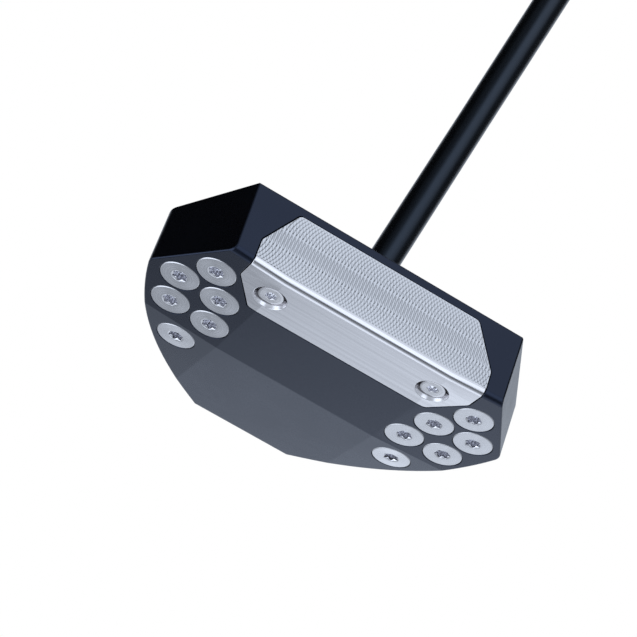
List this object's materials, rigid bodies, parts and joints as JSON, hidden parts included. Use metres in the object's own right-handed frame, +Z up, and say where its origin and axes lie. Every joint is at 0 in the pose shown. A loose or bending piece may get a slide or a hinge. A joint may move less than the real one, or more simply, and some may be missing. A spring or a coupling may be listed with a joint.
{
  "type": "mallet putter",
  "caption": "Mallet golf putter: black milled head with a wrap-under steel face insert, screwed sole weights, straight shaft set behind the face and a flat-fronted grip.",
  "frame": {"origin": "on the flat of the sole, at the head's mid-plane, below the point where the shaft axis crosses that plane", "axes": "+X towards the heel and the player, +Y away from the target (face looks along -Y), +Z up with the sole flat on the ground"},
  "size_m": [0.2307, 0.0819, 0.8596],
  "materials": {
    "body_black": "black bead-blasted anodised",
    "insert_steel": "cross-milled face, brushed sole",
    "screw_steel": "machined",
    "weight_steel": "turned",
    "sight_paint": "white paint fill",
    "shaft_black": "black satin coating",
    "bond": "cured adhesive",
    "plug": "moulded",
    "tape": "masking tape",
    "grip_rubber": "fine moulded texture",
    "cap": "moulded"
  },
  "bodies": {
    "root": {"head_body": "body_black", "face_insert": "insert_steel", "insert_screw_toe": "screw_steel", "insert_screw_heel": "screw_steel", "weight_toe_1": "weight_steel", "weight_toe_2": "weight_steel", "weight_toe_3": "weight_steel", "weight_toe_4": "weight_steel", "weight_toe_5": "weight_steel", "weight_toe_6": "weight_steel", "weight_heel_1": "weight_steel", "weight_heel_2": "weight_steel", "weight_heel_3": "weight_steel", "weight_heel_4": "weight_steel", "weight_heel_5": "weight_steel", "weight_heel_6": "weight_steel", "sight_line_front": "sight_paint", "sight_line_rear": "sight_paint", "shaft": "shaft_black", "shaft_bond": "bond", "tip_plug": "plug", "grip_tape": "tape", "grip": "grip_rubber", "grip_cap": "cap"}
  },
  "joints": []
}
